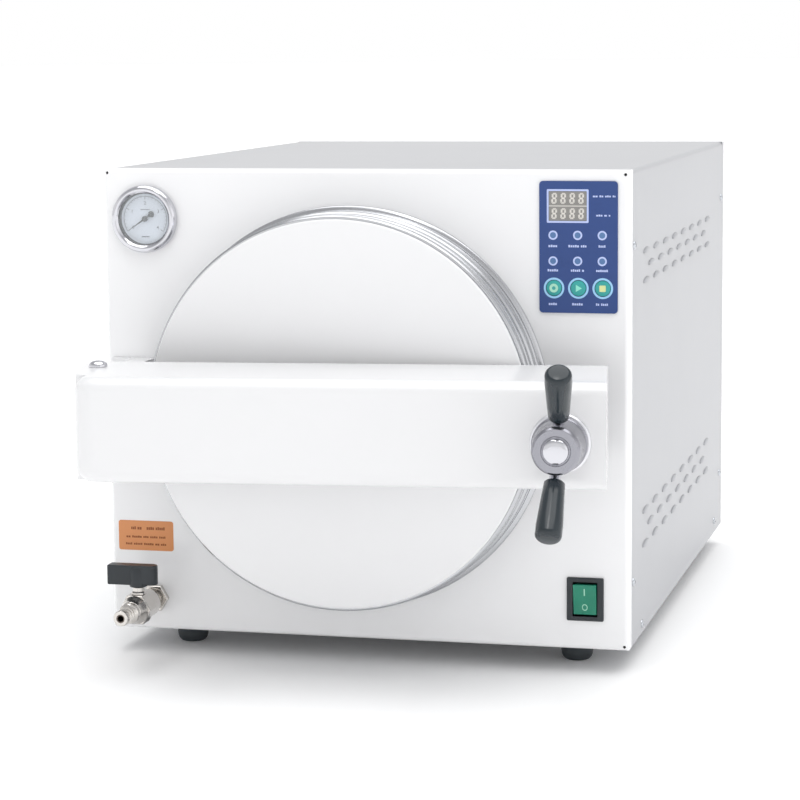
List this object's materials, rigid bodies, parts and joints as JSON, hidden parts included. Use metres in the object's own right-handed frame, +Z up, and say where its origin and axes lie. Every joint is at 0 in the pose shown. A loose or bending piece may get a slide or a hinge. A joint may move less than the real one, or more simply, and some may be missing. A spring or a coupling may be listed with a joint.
{
  "type": "benchtop autoclave",
  "caption": "Benchtop steam steriliser: boxy white cabinet with a round door held shut by a hinged closing bar and a screw handle, with a gauge, keypad and drain tap.",
  "frame": {"origin": "middle of the bounding box's underside, on the surface that the feet stand on", "axes": "+X to the machine's right as the user faces it, +Y from the door to the rear panel, +Z up"},
  "size_m": [0.4574, 0.8496, 0.417],
  "materials": {
    "black_plastic": "fine-grained",
    "black_rubber": "matt",
    "brass": "plain brass",
    "button_teal": "satin",
    "circuit_board": "solder mask",
    "copper": "plain copper tube",
    "cover_enamel": "satin grey-white enamel",
    "dark_steel": "blackened steel",
    "dial_white": "matt white",
    "display_grey": "smoked lens",
    "gauge_glass": "clear",
    "green_lens": "translucent green",
    "insulation_wool": "mineral wool",
    "keypad_blue": "satin polyester film",
    "nickel_plate": "nickel plate",
    "red_silicone": "satin silicone",
    "satin_chrome": "satin chrome plate",
    "stainless_steel": "fine-turned stainless steel",
    "white_enamel": "gloss white enamel",
    "zinc_plate": "zinc-plated steel"
  },
  "bodies": {
    "cabinet": {"base_pan": "cover_enamel", "catch_post": "stainless_steel", "chamber": "stainless_steel", "chamber_flange": "stainless_steel", "control_board": "circuit_board", "display_window": "display_grey", "drain_barb": "nickel_plate", "drain_nut": "nickel_plate", "drain_pipe": "copper", "drain_valve_body": "nickel_plate", "foot_front_left": "black_rubber", "foot_front_right": "black_rubber", "foot_rear_left": "black_rubber", "foot_rear_right": "black_rubber", "front_panel": "white_enamel", "front_saddle": "zinc_plate", "fuse_holder": "black_plastic", "gauge_bezel": "satin_chrome", "gauge_case": "dark_steel", "gauge_dial": "dial_white", "gauge_glass": "gauge_glass", "gauge_tube": "copper", "heater_guard": "stainless_steel", "heating_element": "dark_steel", "hinge_bracket": "white_enamel", "insulation_jacket": "insulation_wool", "keypad_fascia": "keypad_blue", "mains_inlet": "black_plastic", "rear_panel": "cover_enamel", "rear_saddle": "zinc_plate", "safety_valve": "brass", "solenoid_valve": "brass", "switch_body": "black_plastic", "tray_lower": "stainless_steel", "tray_middle": "stainless_steel", "tray_rack": "stainless_steel", "tray_upper": "stainless_steel", "wrap_cover": "cover_enamel"},
    "bar": {"closing_bar": "white_enamel", "door_dish": "stainless_steel", "door_face": "white_enamel", "door_gasket": "red_silicone", "door_pivot": "stainless_steel", "pivot_socket": "stainless_steel", "thrust_disc": "stainless_steel", "spindle_nut": "dark_steel", "hinge_pin": "satin_chrome"},
    "screw": {"spindle": "stainless_steel"},
    "handle": {"handle_hub": "satin_chrome", "hub_cap": "satin_chrome", "upper_grip": "black_plastic", "lower_grip": "black_plastic"},
    "needle": {"gauge_needle": "dark_steel"},
    "rocker": {"switch_rocker": "green_lens"},
    "drain_tap": {"drain_lever": "black_plastic", "drain_ball": "stainless_steel"},
    "set_key": {"set_button": "button_teal"},
    "start_key": {"start_button": "button_teal"},
    "stop_key": {"stop_button": "button_teal"},
    "relief_ring": {"safety_pull": "brass"}
  },
  "joints": [
    {"name": "bar_swing", "type": "hinge", "parent": "cabinet", "child": "bar", "pos_m": [-0.19071, -0.32173, 0.218], "axis": [0, 0, -1], "range_deg": [0, 110]},
    {"name": "screw_travel", "type": "slide", "parent": "bar", "child": "screw", "axis": [0.1045, -0.9945, 0], "range_m": [0, 0.01]},
    {"name": "handle_turn", "type": "hinge", "parent": "screw", "child": "handle", "pos_m": [0.1939, -0.3543, 0.218], "axis": [0.1045, -0.9945, 0], "range_deg": [0, 720]},
    {"name": "needle_turn", "type": "hinge", "parent": "cabinet", "child": "needle", "pos_m": [-0.19171, -0.19874, 0.375], "axis": [0, 1, 0], "range_deg": [0, 265], "stiffness_Nm_per_rad": 0.0005},
    {"name": "rocker_tilt", "type": "hinge", "parent": "cabinet", "child": "rocker", "pos_m": [0.18529, -0.19874, 0.0636], "axis": [-1, 0, 0], "range_deg": [0, 16]},
    {"name": "drain_turn", "type": "hinge", "parent": "cabinet", "child": "drain_tap", "pos_m": [-0.18971, -0.24174, 0.049], "axis": [0, 0, 1], "range_deg": [0, 90]},
    {"name": "set_press", "type": "slide", "parent": "cabinet", "child": "set_key", "axis": [0, 1, 0], "range_m": [0, 0.0008], "stiffness_N_per_m": 400},
    {"name": "start_press", "type": "slide", "parent": "cabinet", "child": "start_key", "axis": [0, 1, 0], "range_m": [0, 0.0008], "stiffness_N_per_m": 400},
    {"name": "stop_press", "type": "slide", "parent": "cabinet", "child": "stop_key", "axis": [0, 1, 0], "range_m": [0, 0.0008], "stiffness_N_per_m": 400},
    {"name": "relief_pull", "type": "slide", "parent": "cabinet", "child": "relief_ring", "axis": [0, 1, 0], "range_m": [0, 0.003], "stiffness_N_per_m": 900}
  ],
  "couplings": [
    {"joint": "screw_travel", "follows": "handle_turn", "m_per_rad": 0.000795}
  ]
}
